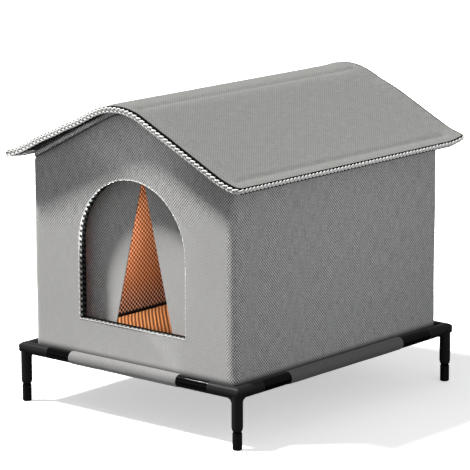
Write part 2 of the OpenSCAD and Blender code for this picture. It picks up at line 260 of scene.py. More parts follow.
def flat_coordinates(tree, axes=None):
    """The two coordinates of a weave: the cloth's own UV map, or two axes of the object."""
    if axes is None:
        place = add_node(tree, "UVMap", uv_map="cloth").outputs[0]
        axes = ("X", "Y")
    else:
        place = add_node(tree, "TexCoord").outputs["Object"]
    parts = add_node(tree, "SeparateXYZ", {0: place})
    return [parts.outputs[axis] for axis in axes]


def slubs(tree, across, up, length):
    """Thick and thin threads: noise drawn out along the cloth's height, from 0 to 1."""
    wide, high = maths(tree, "MULTIPLY", across, 1 / SLUB_W), maths(tree, "MULTIPLY", up, 1 / length)
    drawn = add_node(tree, "CombineXYZ", {0: wide, 1: high}).outputs[0]
    return add_node(tree, "TexNoise", {"Vector": drawn, "Scale": 1, "Detail": 2}).outputs[0]


def distance_along(tree, weights):
    """The weights turn a point's x, y and z into one distance."""
    place = add_node(tree, "TexCoord").outputs["Object"]
    dot = add_node(tree, "VectorMath", {0: place, 1: weights}, operation="DOT_PRODUCT")
    return dot.outputs["Value"]


def beyond(tree, weights, low, high):
    """How far a point lies past a plane, as a smooth step."""
    return remap(tree, distance_along(tree, weights), (low, high), shape="SMOOTHSTEP")


def woven(name, light, dark, relief, axes=None, streaks=0.35, shade_planes=None, corner=None, foot=None,
          painted_foot_tint="#303031"):
    """Basket-woven polyester, matt with a soft sheen and a few thick threads. The grain's contrast is painted
    light and shade: strong past the given shade planes, where the cloth lies in the key lamp's shade, and
    calm elsewhere, where the key lamp lights it. Past the corner plane it is painted stronger still, for the
    light that grazes the near corner. Towards a foot, given as two heights, it takes the foot's tint: painted
    shade at the cover's foot, painted light on the underside of the lit sleeves."""
    material, tree, shader = new_material(name, Roughness=0.85, Sheen_Weight=0.15, Sheen_Roughness=0.5)
    across, up = flat_coordinates(tree, axes)
    cells = chequer(tree, across, up, WEAVE_PERIOD)
    steep = remap(tree, cells, (-0.45, 0.45))
    threads = between(tree, steep, *[wave(tree, way, THREAD_PERIOD) for way in (across, up)])
    warp, weft = slubs(tree, across, up, 24 * MM), slubs(tree, up, across, 14 * MM)
    uneven = remap(tree, maths(tree, "ADD", warp, weft), (0.6, 1.4), (-streaks, streaks))
    tone = maths(tree, "ADD", steep, uneven)
    if shade_planes:
        most = maths(tree, "MAXIMUM", *[beyond(tree, *plane) for plane in shade_planes])
        share = remap(tree, most, (0, 1), (LIT_GRAIN_SHARE, SHADED_GRAIN_SHARE))
        if corner:
            grazed_grain = maths(tree, "MULTIPLY", beyond(tree, *corner), GRAZED_CORNER_GRAIN_SHARE)
            share = maths(tree, "ADD", share, grazed_grain)
        tone = between(tree, share, 0.5, tone)
    tint = tinted(tree, tone, dark, light)
    if foot:
        tint = tinted(tree, beyond(tree, UP, *foot), painted_foot_tint, tint)
    height = maths(tree, "ADD", cells, maths(tree, "MULTIPLY", threads, 0.25))
    raise_surface(tree, shader, height, relief, 0.3 * MM, tint)
    return material


# The planes bound where the front wall and the flaps lie in the key lamp's shade; past them the grain is
# painted stronger, painted shade. The corner plane marks the near corner, where light grazes the cloth.
COVER_SHADE_PLANES = [((-0.15, 0, 1), 0.29, 0.345), ((1, 0, 0), 0.19, 0.204)]
FLAP_SHADE_PLANES = [((-0.3, 0, 1), 0.275, 0.31), ((-1, 0, 0), 0.070, 0.085)]
# The cover's foot is painted darker for the shade just above the rails: painted shade.
cover_cloth = woven("woven_polyester_grey", "#d8d8d8", "#59595b", 0.15, shade_planes=COVER_SHADE_PLANES,
                    corner=((1, -1, 0), 0.4395, 0.4435), foot=(0.0905, 0.104))
# The flaps get a paler copy of the cover's cloth: painted light that lifts them out of the doorway's shade.
flap_material = woven("woven_polyester_flap", "#dededd", "#68686b", 0.15, shade_planes=FLAP_SHADE_PLANES)
# The roof's cloth is painted darker than the walls' to offset the key lamp's stronger light on the top:
# painted shade.
roof_top_material = woven("woven_polyester_roof", "#787978", "#5f605f", 0.2, streaks=0.8)
roof_under_material = woven("woven_polyester_roof_under", "#c4c4c2", "#9a9a98", 0.25)
# The side sleeves and the deck take this darker copy of the sleeve cloth: painted shade. The front and rear
# sleeves take the paler copy: painted light, with a foot painted paler still against the shade underneath.
shaded_sleeve_material = woven("woven_polyester_sleeve", "#6d6d6c", "#4f4f4f", 0.3)
lit_sleeve_material = woven("woven_polyester_sleeve_lit", "#828283", "#6b6b6c", 0.3, foot=(0.071, 0.090),
                             painted_foot_tint="#dcdcdd")
cloth_facing_front = woven("woven_polyester_front_trim", "#b9b8b5", "#9a9996", 0.6, ("X", "Z"))
cloth_facing_side = woven("woven_polyester_side_trim", "#b9b8b5", "#9a9996", 0.6, ("Y", "Z"))
cloth_lying = woven("woven_polyester_base", "#9c9b98", "#868582", 0.5, ("X", "Y"))

# %% [markdown]
# ## Knitted mesh lining
# The lining and the mat are a raised spacer mesh, knitted in burnt orange. Pale nubs stand in a staggered
# lattice 8 mm apart, with dark holes between them. The same chequer gives the nubs, and the bump makes them
# round. Where the wall meets the mat a black band is painted for the shade in that crevice, and just above it
# the holes are painted black, with paler nubs, for the shade low on the wall.

# %% Mesh lining material
MESH_PERIOD = (8.0 * MM, 8.2 * MM)


def knitted_mesh(name, nub_colour, hole_colour, foot=None):
    """Spacer mesh knitted from polyester yarn: pale nubs over dark holes. Below a foot, given as two heights,
    the holes and the crevice at the mat are painted black for shade.
    """
    material, tree, shader = new_material(name, Roughness=0.8, Specular_IOR_Level=0.2)
    cells = chequer(tree, *flat_coordinates(tree), MESH_PERIOD)
    nub = remap(tree, cells, (-0.4, 0.65), shape="SMOOTHSTEP")
    if foot:
        free = beyond(tree, UP, *foot)
        nub_colour = tinted(tree, free, "#e6ab8c", nub_colour)
        hole_colour = tinted(tree, free, "#070200", hole_colour)
    tint = tinted(tree, nub, hole_colour, nub_colour)
    if foot:
        crevice_shade = beyond(tree, UP, foot[0] - 4 * MM, foot[0] + 1 * MM)
        tint = tinted(tree, crevice_shade, "#050100", tint)
    raise_surface(tree, shader, nub, 0.8, 1.0 * MM, tint)
    return material


mesh_material = knitted_mesh("spacer_mesh_orange", "#e0995e", "#3a1404")
# The wall's lining is painted black low down, where it meets the mat: painted shade.
wall_mesh_material = knitted_mesh("spacer_mesh_orange_wall", "#e39a6c", "#6f3214", foot=(0.112, 0.165))

# %% [markdown]
# ## Cord, tape, tube and plastic
# The cord is twisted white polyester, bright where its fibres lie flat, and under it lies a black tape. The
# tubes are steel with a glossy black powder coat. The corner fittings are black plastic with a soft shine.

# %% Hard and plain materials
def grained(name, hex_value, grain, relief, **surface):
    """A plain surface with a fine even grain, as moulding, powder coat or felt leaves it."""
    material, tree, shader = new_material(name, Base_Color=colour(hex_value), **surface)
    place = add_node(tree, "TexCoord").outputs["Object"]
    speckle = add_node(tree, "TexNoise", {"Vector": place, "Scale": 1 / grain, "Detail": 2}).outputs[0]
    raise_surface(tree, shader, speckle, relief, 0.2 * MM)
    return material


roof_cord_material = grained("braided_white_cord", "#e2e2e1", 0.5 * MM, 0.5, Roughness=0.6, Sheen_Weight=0.2)
yarn_material = grained("white_yarn", "#cfcfcc", 0.5 * MM, 0.4, Roughness=0.6, Sheen_Weight=0.2)
tape_material = grained("black_edge_tape", "#080808", 0.6 * MM, 0.3, Roughness=0.9, Specular_IOR_Level=0.05)
# A near-black sheet under the gables' overhang stands for the shade there: painted shade.
overhang_shade_material = grained("painted_overhang_shade", "#2b2b2c", 0.6 * MM, 0.4, Roughness=0.9,
                           Specular_IOR_Level=0.1)
tube_material = grained("powder_coated_steel", "#030303", 1.2 * MM, 0.01, Roughness=0.11, IOR=1.22)
fitting_material = grained("moulded_black_plastic", "#222224", 0.4 * MM, 0.03, Roughness=0.3, IOR=1.2)
rubber_material = grained("moulded_black_rubber", "#060606", 0.5 * MM, 0.3, Roughness=0.65, IOR=1.3)
board_material = grained("foam_board", "#c9c4b8", 2 * MM, 0.4, Roughness=0.9)
hook_material = grained("hook_tape_grey", "#3c3c3e", 0.9 * MM, 1.0, Roughness=0.9)


def ribbed(name, light, dark, slant, pitch):
    """Matt woven webbing with raised ribs that run at a slant."""
    material, tree, shader = new_material(name, Roughness=0.9, Specular_IOR_Level=0.1)
    rib = remap(tree, wave(tree, distance_along(tree, slant), pitch), (-0.2, 0.9))
    raise_surface(tree, shader, rib, 0.6, 0.5 * MM, tinted(tree, rib, dark, light))
    return material


# Painted shade: the webbing is near-black for the shade inside the doorway's cut.
shaded_jamb_material = ribbed("doorway_webbing_painted_shade", "#444444", "#060606", (0, 0.5, 1), 8.6 * MM)

# %% [markdown]
# ## The stand
# The rails and legs are right in CAD already, so they only get their paint. The cover is folded over the tops
# of the walls' boards, so what shows of the boards is cloth.

# %% Stand materials
SIDES = ("front", "rear", "left", "right")
CORNERS = ("front_left", "front_right", "rear_left", "rear_right")
dress(tube_material, *[side + "_rail" for side in SIDES], *[corner + "_leg" for corner in CORNERS])
dress(fitting_material, *[corner + "_fitting" for corner in CORNERS])
dress(rubber_material, *[corner + "_foot_cap" for corner in CORNERS])
dress(board_material, "base_board")
for side in ("front", "rear", "right"):
    dress(hook_material, side + "_hook_tape", side + "_loop_tape")
dress(cloth_facing_front, "front_hem", "rear_hem", "flap_header")
dress(cloth_facing_side, "right_hem", "roof_hinge_piping")
dress(cloth_lying, "base_cover", *[side + "_board" for side in SIDES])

# %% [markdown]
# ## The roof's shape
# The roof is one padded sheet: a round ridge, two straight slopes and two eaves that sweep up. A point on it
# is found by its distance from the ridge along the cloth, so that cloth, tape and cord follow one shape.

# %% Roof section
PITCH = radians(27)
RIDGE_R = 115 * MM
SWEEP_R = 150 * MM
SWEEP_W = 48 * MM
ROOF_T = 9 * MM
SEAT_GAP = 0.3 * MM

roof_half_w, roof_half_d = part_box("roof_binding")[1][:2]
roof_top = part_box("roof_cover")[1][2]
ridge_centre_z = roof_top - RIDGE_R
apex_z = ridge_centre_z + RIDGE_R / cos(PITCH)
sweep_x = roof_half_w - SWEEP_W
sweep_centre_x = sweep_x + SWEEP_R * sin(PITCH)
sweep_centre_z = apex_z - sweep_x * tan(PITCH) + SWEEP_R * cos(PITCH)
ridge_arc = RIDGE_R * PITCH
slope_length = (sweep_x - RIDGE_R * sin(PITCH)) / cos(PITCH)


def roof_section(distance):
    """The roof's top at a distance to the right of the ridge, along the cloth: x, z and tilt."""
    side = copysign(1, distance)
    along = abs(distance)
    if along < ridge_arc:
        tilt = along / RIDGE_R
        x, z = RIDGE_R * sin(tilt), ridge_centre_z + RIDGE_R * cos(tilt)
    elif along < ridge_arc + slope_length:
        tilt = PITCH
        x = RIDGE_R * sin(PITCH) + (along - ridge_arc) * cos(PITCH)
        z = apex_z - x * tan(PITCH)
    else:
        tilt = PITCH - (along - ridge_arc - slope_length) / SWEEP_R
        x, z = sweep_centre_x - SWEEP_R * sin(tilt), sweep_centre_z - SWEEP_R * cos(tilt)
    return side * x, z, side * tilt


def roof_reach(x_limit):
    """How far along the cloth the roof reaches that x."""
    tilt = asin((sweep_centre_x - x_limit) / SWEEP_R)
    return ridge_arc + slope_length + (PITCH - tilt) * SWEEP_R


def smooth(value):
    """A smooth step from 0 to 1."""
    value = max(0, min(1, value))
    return value * value * (3 - 2 * value)


FRONT_LIE = [(-0.19, 3.2), (-0.13, 0), (-0.085, -3.0), (0.055, -3.2), (0.12, -2.0), (0.18, -1.0), (0.25, 0)]
REAR_LIE = [(0.055, 0), (0.12, 4.5)]


def lie_between(points, distance):
    """How high an edge lies at a distance from the ridge, between the points where it was measured."""
    for (start, low), (end, high) in zip(points, points[1:]):
        if distance <= end:
            break
    return (low + (high - low) * smooth((distance - start) / (end - start))) * MM


def droop(distance, y):
    """How far the overhang past a gable wall hangs up or down. No board is perfectly flat."""
    share = smooth((abs(y) - 238 * MM) / (40 * MM))
    return share * lie_between(FRONT_LIE if y < 0 else REAR_LIE, distance)


def ridge_dip(distance, y):
    """The bare fold at the ridge has no board under it, so the cloth dips a little there."""
    front, rear = smooth((y + 282 * MM) / (44 * MM)), smooth((270 * MM - y) / (60 * MM))
    return 2.0 * MM * exp(-(distance / (38 * MM)) ** 2) * front * rear


def on_roof(distance, y, lift):
    """A point above the roof's top by lift, square to the cloth."""
    x, z, tilt = roof_section(distance)
    return Vector((x + lift * sin(tilt), y, z + lift * cos(tilt) + droop(distance, y)))


def under_roof(x, drop):
    """The height of the roof's section at x, at a depth of drop below its top."""
    x = abs(x)
    if x < (RIDGE_R - drop) * sin(PITCH):
        return ridge_centre_z + sqrt((RIDGE_R - drop) ** 2 - x ** 2)
    if x < sweep_centre_x - (SWEEP_R + drop) * sin(PITCH):
        return apex_z - drop / cos(PITCH) - x * tan(PITCH)
    return sweep_centre_z - sqrt((SWEEP_R + drop) ** 2 - (sweep_centre_x - x) ** 2)


print("roof reaches", round(roof_reach(roof_half_w), 4), "m from the ridge along the cloth")

# %% [markdown]
# ## Roof cloth
# Each slope has a quilted panel. A seam runs round it, 24 mm in from the edges and 30 mm from the ridge, and
# pulls the padding down into a shallow groove. Blender's Cloth, held at the seams, lets the pad swell between
# them. The roof's corners are rounded.

# %% Roof pad
CORD_R = 4 * MM
ROOF_CORNER_R = 12 * MM
FRONT_LAP = 4.5 * MM
SEAM_INSET = 24 * MM
RIDGE_SEAM = 30 * MM
SWELL = 0.9 * MM
PAD_STEPS_S, PAD_STEPS_Y = 96, 100
edge_s = roof_reach(roof_half_w) - CORD_R
edge_y = roof_half_d - CORD_R


def seam_distance(s, y):
    """How far a point lies from the nearest seam: negative inside a panel."""
    return max(abs(s) - (edge_s - SEAM_INSET), abs(y) - (edge_y - SEAM_INSET), RIDGE_SEAM - abs(s))


def pad_place(i, j):
    s, y = (2 * i / PAD_STEPS_S - 1) * edge_s, (2 * j / PAD_STEPS_Y - 1) * edge_y
    return Vector((s, y, 0.2 * MM * noise.noise(Vector((s * 30, y * 30, 0))))), (s, y)


def pad_grid(s, y):
    """A place on the pad, counted in its grid's steps."""
    return (s / edge_s + 1) / 2 * PAD_STEPS_S, (y / edge_y + 1) / 2 * PAD_STEPS_Y


roof_pad = keep(cloth_grid(PAD_STEPS_S, PAD_STEPS_Y, pad_place), "roof_pad")
pin(roof_pad, lambda co: 1 if abs(seam_distance(co.x, co.y)) < 3.6 * MM or abs(co.x) > edge_s - FRONT_LAP
    or abs(co.y) > edge_y - FRONT_LAP else 0)
settle(roof_pad, 20, (0, 0, 3), SWELL, 0.2, 12, quality=5, bending_stiffness=0.8, shrink_min=-0.004)
pad_height = {tuple(map(round, pad_grid(v.co.x, v.co.y))): v.co.z for v in roof_pad.data.vertices}
bpy.data.objects.remove(roof_pad)


def swell(s, y):
    """The pad's height between four of its points."""
    u, v = pad_grid(s, y)
    i, j = min(int(u), PAD_STEPS_S - 1), min(int(v), PAD_STEPS_Y - 1)
    u, v = u - i, v - j
    near = pad_height.get((i, j), 0) * (1 - u) + pad_height.get((i + 1, j), 0) * u
    far = pad_height.get((i, j + 1), 0) * (1 - u) + pad_height.get((i + 1, j + 1), 0) * u
    return near * (1 - v) + far * v


# %% Roof quilting
SEAM_DEPTH, SEAM_SOFTNESS = 1.0 * MM, 8 * MM
STITCH_DEPTH, STITCH_SOFTNESS = 0.6 * MM, 2 * MM
CREASE_DEPTH, CREASE_SOFTNESS = 0.5 * MM, 3 * MM


def mitre(s, y):
    """The faint crease from a panel's corner to the end of the ridge, from 0 to 1."""
    across, along = abs(s) / RIDGE_SEAM, (edge_y - abs(y)) / SEAM_INSET
    if across > 1 or along > 1:
        return 0
    away = (across - along) * 19 * MM
    return exp(-(away / CREASE_SOFTNESS) ** 2) * smooth(across * 3) * smooth(along * 3)


def quilting(s, y):
    """How far the padding lifts the cloth, less the grooves of its seams, stitches and creases."""
    away = seam_distance(s, y)
    at_gable = smooth((abs(y) - (edge_y - SEAM_INSET - 12 * MM)) / (10 * MM))
    groove = (SEAM_DEPTH * exp(-(away / SEAM_SOFTNESS) ** 2)
              + STITCH_DEPTH * exp(-(away / STITCH_SOFTNESS) ** 2)) * (1 + 0.6 * at_gable)
    return swell(s, y) - groove - CREASE_DEPTH * mitre(s, y) - ridge_dip(s, y)


# %% Roof cloth
LINING_INSET = 3.5 * MM
ROOF_STEPS_S, ROOF_STEPS_Y = 212, 226
UNDER_STEPS_S, UNDER_STEPS_Y = 106, 112


def roof_grid(i, j, steps_s, steps_y):
    """A place on the flat roof, with the corners drawn in to quarter circles."""
    s, y = (2 * i / steps_s - 1) * edge_s, (2 * j / steps_y - 1) * edge_y
    over_s, over_y = abs(s) - (edge_s - ROOF_CORNER_R), abs(y) - (edge_y - ROOF_CORNER_R)
    if over_s <= 0 or over_y <= 0:
        return s, y
    shrink = max(over_s, over_y) / hypot(over_s, over_y)
    return (copysign(edge_s - ROOF_CORNER_R + over_s * shrink, s),
            copysign(edge_y - ROOF_CORNER_R + over_y * shrink, y))


def roof_top_place(i, j):
    s, y = roof_grid(i, j, ROOF_STEPS_S, ROOF_STEPS_Y)
    return on_roof(s, y, quilting(s, y)), (s, y)


def roof_under_place(i, j):
    s, y = roof_grid(i, j, UNDER_STEPS_S, UNDER_STEPS_Y)
    s, y = s * (1 - LINING_INSET / edge_s), y * (1 - LINING_INSET / edge_y)
    return on_roof(s, y, -ROOF_T + 0.4 * MM), (s, y)


roof_cloth = keep(cloth_grid(ROOF_STEPS_S, ROOF_STEPS_Y, roof_top_place), "roof_top_cloth")
thicken(roof_cloth, 1.2 * MM)
finish_piece(roof_cloth, roof_top_material, "roof_cloth", "roof_cover", body="roof")

roof_lining = keep(cloth_grid(UNDER_STEPS_S, UNDER_STEPS_Y, roof_under_place), "roof_under_cloth")
thicken(roof_lining, 1.0 * MM, 1)
finish_piece(roof_lining, roof_under_material, "roof_cloth", "roof_lining", body="roof")

# %% [markdown]
# The boards inside the slopes follow the cloth. Under each gable's overhang lies a black strip: painted shade
# where the underside is in shadow.

# %% Roof boards and painted overhang shade
BOARD_T, SHADE_STRIP_T = 3.0 * MM, 0.4 * MM
BOARD_STEPS_S, BOARD_STEPS_Y = 40, 60
SHADE_STRIP_STEPS_S, SHADE_STRIP_STEPS_Y = 120, 8
base_half_w, base_half_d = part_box("base_cover")[1][:2]
shade_strip_inner_y = base_half_d + 1.5 * MM


def roof_board(side, name):
    low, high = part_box(name)
    inner_s = min(abs(low[0]), abs(high[0]))
    outer_s = roof_reach(max(abs(low[0]), abs(high[0]))) - 2 * MM

    def place(i, j):
        out = i if side > 0 else BOARD_STEPS_S - i
        s = side * (inner_s + (outer_s - inner_s) * out / BOARD_STEPS_S)
        y = (2 * j / BOARD_STEPS_Y - 1) * (edge_y - 2 * MM)
        return on_roof(s, y, min(-2.4 * MM, quilting(s, y) - 1.8 * MM)), (s, y)

    slab = keep(cloth_grid(BOARD_STEPS_S, BOARD_STEPS_Y, place), name + "_panel")
    thicken(slab, BOARD_T)
    finish_piece(slab, board_material, "stiffener_board", name, body="roof")


def overhang_shade_strip(side, name):
    """A black strip under the overhang, from the cord to the wall, as wide as the wall: painted shade."""
    half_s = roof_reach(base_half_w - 6 * MM)

    def place(i, j):
        s = (2 * i / SHADE_STRIP_STEPS_S - 1) * half_s
        y = side * (shade_strip_inner_y + (edge_y - LINING_INSET - shade_strip_inner_y) * j / SHADE_STRIP_STEPS_Y)
        return on_roof(s, y, -ROOF_T + 0.2 * MM), (s, y)

    strip = keep(cloth_grid(SHADE_STRIP_STEPS_S, SHADE_STRIP_STEPS_Y, place), name, outward=True)
    thicken(strip, SHADE_STRIP_T, 0)
    finish_piece(strip, overhang_shade_material, "roof_cloth", body="roof")


roof_board(-1, "roof_left_board")
roof_board(1, "roof_right_board")
overhang_shade_strip(-1, "front_overhang_shade")
overhang_shade_strip(1, "rear_overhang_shade")

# %% [markdown]
# ## Edge tape and braided cord
# The roof's edge is bound in black tape, and a flat white braid of three strands is sewn over it. Each strand
# swings from side to side once in three crossings, and dips under and over the others twice as often, so the
# braid shows two rows of beads. A whole number of swings lets each strand join up with itself. Along the
# front the braid is wider and lies lower.

# %% Outlines
def rounded_rectangle(half_x, half_y, radius):
    """A rounded rectangle's legs, anticlockwise from the middle of its rear. A leg is its length, its start
    or centre, the angle that it faces and its radius, which is 0 where it is straight."""
    flat_x, flat_y, arc = half_x - radius, half_y - radius, radius * pi / 2
    return [(flat_x, (0, half_y), 90, 0), (arc, (-flat_x, flat_y), 90, radius),
            (2 * flat_y, (-half_x, flat_y), 180, 0), (arc, (-flat_x, -flat_y), 180, radius),
            (2 * flat_x, (-flat_x, -half_y), 270, 0), (arc, (flat_x, -flat_y), 270, radius),
            (2 * flat_y, (half_x, -flat_y), 0, 0), (arc, (flat_x, flat_y), 0, radius),
            (flat_x, (flat_x, half_y), 90, 0)]


def outline_length(legs):
    return sum(leg[0] for leg in legs)


def on_outline(legs, distance):
    """The two coordinates at a distance along an outline, and the way out there."""
    for length, start, facing, radius in legs:
        if distance <= length + 1e-9:
            break
        distance -= length
    angle = radians(facing) + (distance / radius if radius else 0)
    ahead = 0 if radius else distance
    out = (cos(angle), sin(angle))
    return start[0] + out[0] * radius - out[1] * ahead, start[1] + out[1] * radius + out[0] * ahead, out


edge_legs = rounded_rectangle(edge_s, edge_y, ROOF_CORNER_R)
edge_length = outline_length(edge_legs)
front_edge_start = outline_length(edge_legs[:4])


def edge_path(count):
    """Stations round the roof's edge: the point on the top surface, the way up and the way out."""
    stations = []
    for k in range(count):
        distance = (front_edge_start + k / count * edge_length) % edge_length
        s, y, (out_s, out_y) = on_outline(edge_legs, distance)
        x, z, tilt = roof_section(s)
        up = Vector((sin(tilt), 0, cos(tilt)))
        out = Vector((cos(tilt) * out_s, out_y, -sin(tilt) * out_s))
        stations.append((Vector((x, y, z + droop(s, y))), up, out))
    return stations


# %% Cord and tape builders
def strands(name, stations, radius, phases, offset):
    """Closed round strands along stations (point, up, out). offset gives how far up and out a strand lies at
    a share of the way round."""
    whole = bmesh.new()
    for phase in phases:
        line = bpy.data.curves.new(name, "CURVE")
        line.dimensions = "3D"
        line.bevel_depth = radius
        line.bevel_resolution = 2
        spline = line.splines.new("POLY")
        spline.points.add(len(stations) - 1)
        spline.use_cyclic_u = True
        for k, (point, up, out) in enumerate(stations):
            rise, reach = offset(k / len(stations), phase)
            spline.points[k].co = (*(point + up * rise + out * reach), 1)
        curve_object = bpy.data.objects.new(name, line)
        mesh = bpy.data.meshes.new_from_object(curve_object)
        bpy.data.objects.remove(curve_object)
        whole.from_mesh(mesh)
        bpy.data.meshes.remove(mesh)
    print(name, "faces", len(whole.faces))
    return keep(whole, name, outward=True)


def swept_band(stations, profile, name):
    """A closed band. The profile gives its cross-section as (out, up) offsets, for each station's way out."""
    count, corners = len(stations), len(profile(stations[0][2]))

    def place(i, j):
        point, up, out = stations[i % count]
        offset = profile(out)[j % corners]
        return point + out * offset[0] + up * offset[1], (i / count, j / corners)

    return keep(cloth_grid(count, corners, place, weld=True), name, outward=True)


# %% Roof edge
BEAD_PITCH = 8.6 * MM
BRAID_HALF_W, FRONT_HALF_W = 2.3 * MM, 3.3 * MM
BRAID_DEPTH = 1.0 * MM
BRAID_STRAND_R = 1.5 * MM
BRAID_TILT = radians(14)
RINGS_PER_SWING = 24
swings = round(edge_length / (3 * BEAD_PITCH))
braid_line = [(point - up * ROOF_T / 2, up, out) for point, up, out in edge_path(swings * RINGS_PER_SWING)]


def braid_offset(share, phase):
    angle = 2 * pi * (share * swings + phase)
    at_front = max(0, -braid_line[round(share * len(braid_line)) % len(braid_line)][2].y)
    width = (BRAID_HALF_W + (FRONT_HALF_W - BRAID_HALF_W) * at_front) * sin(angle)
    depth = BRAID_DEPTH * sin(2 * angle)
    return (width * cos(BRAID_TILT) - depth * sin(BRAID_TILT) + (0.8 - 1.1 * at_front) * MM,
            width * sin(BRAID_TILT) + depth * cos(BRAID_TILT) + 0.2 * MM)


roof_cord = strands("roof_edge_cord", braid_line, BRAID_STRAND_R, (0, 1 / 3, 2 / 3), braid_offset)
finish_piece(roof_cord, roof_cord_material, "pale_binding", "roof_binding", body="roof")

TAPE_T = 0.8 * MM
OTHER_LAP = 1.6 * MM
TAPE_STATIONS = 600


def tape_profile(out):
    """The tape's section. It laps further over the cloth on the front edge."""
    lap = OTHER_LAP + (FRONT_LAP - OTHER_LAP) * max(0, -out.y)
    return [(-lap, TAPE_T), (0, TAPE_T), (1.4 * MM, -MM), (MM, -3 * MM), (-3.2 * MM, -ROOF_T - 0.3 * MM),
            (-lap - MM, -ROOF_T - TAPE_T), (-lap - MM, -ROOF_T), (-lap, 0)]


roof_tape = swept_band(edge_path(TAPE_STATIONS), tape_profile, "roof_edge_tape")
finish_piece(roof_tape, tape_material, "pale_binding", body="roof")

# %% [markdown]
# ## The cabin's cover
# The cover is one sleeve of cloth pulled over the boards, with round upright corners and a top that follows
# the roof. The padding swells it by a millimetre or so. The doorway is cut out of the grid, and the points
# round the hole are moved on to the doorway's true outline.

# %% Cabin plan
CORNER_R, NEAR_CORNER_R = 8 * MM, 13 * MM
WALL_SWELL = 1.5 * MM
cabin_half_w = base_half_w + WALL_SWELL * 2 / 3
cabin_half_d = base_half_d + WALL_SWELL
cover_plan = rounded_rectangle(cabin_half_w, cabin_half_d, CORNER_R)
wall_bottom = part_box("front_cover")[0][2]
seat_drop = ROOF_T + SEAT_GAP

# %% Doorway outline
PIPING_R = 1.8 * MM
TAPE_LINING = 1.2 * MM
jamb_low, jamb_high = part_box("door_binding")
binding_inset = PIPING_R + TAPE_LINING / 2
door_half = jamb_high[0] - binding_inset
sill_z = jamb_low[2] + binding_inset
spring_z = jamb_high[2] - binding_inset - door_half
print("doorway half width", round(door_half, 4), "sill", round(sill_z, 4), "spring", round(spring_z, 4))


def in_doorway(x, z):
    return z > sill_z and hypot(x, max(0, z - spring_z)) < door_half


def on_doorway(x, z):
    """The nearest point of the doorway's outline."""
    if z >= spring_z:
        reach = hypot(x, z - spring_z)
        return x / reach * door_half, spring_z + (z - spring_z) / reach * door_half
    options = [(copysign(door_half, x), max(z, sill_z)), (max(-door_half, min(door_half, x)), sill_z)]
    return min(options, key=lambda p: hypot(p[0] - x, p[1] - z))


def cut_doorway(sheet, half_d):
    """Cuts the doorway out of the front wall and moves the hole's rim on to its outline."""
    uv_layer = sheet.loops.layers.uv.active
    middles = [(face, face.calc_center_median()) for face in sheet.faces]
    inside = [f for f, mid in middles if abs(mid.y + half_d) < 2 * MM and in_doorway(mid.x, mid.z)]
    rim = {v for f in inside for v in f.verts}
    bmesh.ops.delete(sheet, geom=inside, context="FACES")
    for vertex in [v for v in rim if v.is_valid and v.link_faces]:
        x, z = on_doorway(vertex.co.x, vertex.co.z)
        for loop in vertex.link_loops:
            loop[uv_layer].uv.x += x - vertex.co.x
            loop[uv_layer].uv.y += z - vertex.co.z
        vertex.co.x, vertex.co.z = x, z


# %% Cabin cover
FOOT_STEPS = [0, 0.4, 1.1, 2.1, 3.4, 5.0]
HEM_STEPS = [12, 9.6, 8.6, 7.9, 7.2, 6.4, 5, 0]
FOOT_R = 5 * MM
GROOVE_STEP = 3
GROOVE_DEPTH, GROOVE_SOFTNESS = 2.6 * MM, 1.2 * MM
COVER_STEPS_U = 396
COVER_MIDDLE = 62


def cover_heights(top):
    """The heights of a column's points, from the wall's foot to its top."""
    foot, hem = [wall_bottom + step * MM for step in FOOT_STEPS], [top - step * MM for step in HEM_STEPS]
    return foot + [foot[-1] + (hem[0] - foot[-1]) * k / COVER_MIDDLE for k in range(1, COVER_MIDDLE)] + hem


def at_near_corner(point, out, above_foot, below_top):
    """The front right corner is rounder than the others, except at its foot and top."""
    share = smooth(above_foot / (15 * MM)) * smooth((below_top - 10 * MM) / (25 * MM))
    radius = CORNER_R + (NEAR_CORNER_R - CORNER_R) * share
    centre = Vector((cabin_half_w - radius, radius - cabin_half_d, 0))
    if point.x < centre.x or point.y > centre.y:
        return point, out
    out = (point - centre).normalized()
    return centre + out * radius, out


def cover_place(i, j):
    distance = i / COVER_STEPS_U * outline_length(cover_plan)
    x, y, out = on_outline(cover_plan, distance)
    top = under_roof(x, seat_drop)
    z = cover_heights(top)[j]
    point, out = at_near_corner(Vector((x, y, 0)), Vector((*out, 0)), z - wall_bottom, top - z)
    rise = min(FOOT_R, z - wall_bottom)
    tuck = FOOT_R - sqrt(FOOT_R ** 2 - (FOOT_R - rise) ** 2)
    groove = GROOVE_DEPTH * exp(-((top - z - HEM_STEPS[GROOVE_STEP] * MM) / GROOVE_SOFTNESS) ** 2)
    flatness = max(0, min(1, (z - wall_bottom) / (30 * MM), (top - z) / (30 * MM)))
    wobble = 0.7 * MM * noise.noise(Vector((distance * 9, z * 9, 3))) * flatness
    point += out * (wobble - tuck - groove)
    return Vector((point.x, point.y, z)), (distance, z)


cover_rows = len(cover_heights(0)) - 1
cover_mesh = cloth_grid(COVER_STEPS_U, cover_rows, cover_place, weld=True)
cut_doorway(cover_mesh, cabin_half_d)
cabin_cover = keep(cover_mesh, "cabin_cover")
thicken(cabin_cover, 1.4 * MM)
finish_piece(cabin_cover, cover_cloth, "woven_grey", *[side + "_cover" for side in SIDES])

# %% [markdown]
# A thin black cord lies in the groove under the top hem and darkens it to a line. It follows the wall's top
# all the way round.

# %% Hem cord
HEM_CORD_R = 0.7 * MM
groove_row = cover_rows - len(HEM_STEPS) + 1 + GROOVE_STEP
hem_line = [(cover_place(i, groove_row)[0], Vector(UP), Vector()) for i in range(COVER_STEPS_U)]
hem_cord = strands("top_hem_cord", hem_line, HEM_CORD_R, (0,), lambda share, phase: (0, 0))
finish_piece(hem_cord, tape_material, "woven_grey")

